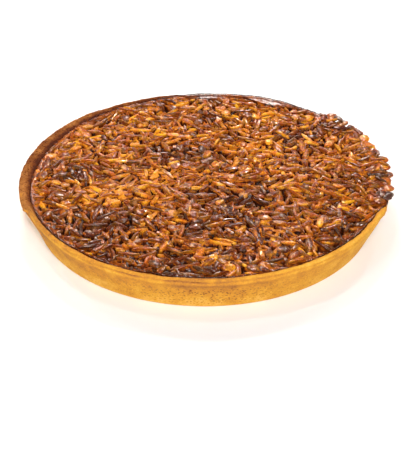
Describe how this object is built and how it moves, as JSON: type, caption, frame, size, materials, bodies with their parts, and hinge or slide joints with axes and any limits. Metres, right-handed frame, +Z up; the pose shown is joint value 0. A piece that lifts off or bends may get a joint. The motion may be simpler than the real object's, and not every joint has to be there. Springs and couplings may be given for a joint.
{
  "type": "almond tart",
  "caption": "Round flat short-crust tart filled to its rim with glossy caramelised slivered almonds; smooth sloping wall and plain ragged rim.",
  "frame": {"origin": "centre of the flat base, on the surface that the tart stands on", "axes": "+Z up through the middle of the tart; +X towards the side where almonds spill over the rim; -X towards the broad bare stretch of rim"},
  "size_m": [0.2821, 0.2773, 0.0335],
  "materials": {
    "pastry": "baked short crust, golden and matt on the moulded wall, browned and crumbly at the rim",
    "caramel_almonds": "slivered almonds set in amber to dark brown caramel, glossy"
  },
  "bodies": {
    "root": {"pastry_crust": "pastry", "almond_filling": "caramel_almonds"}
  },
  "joints": []
}
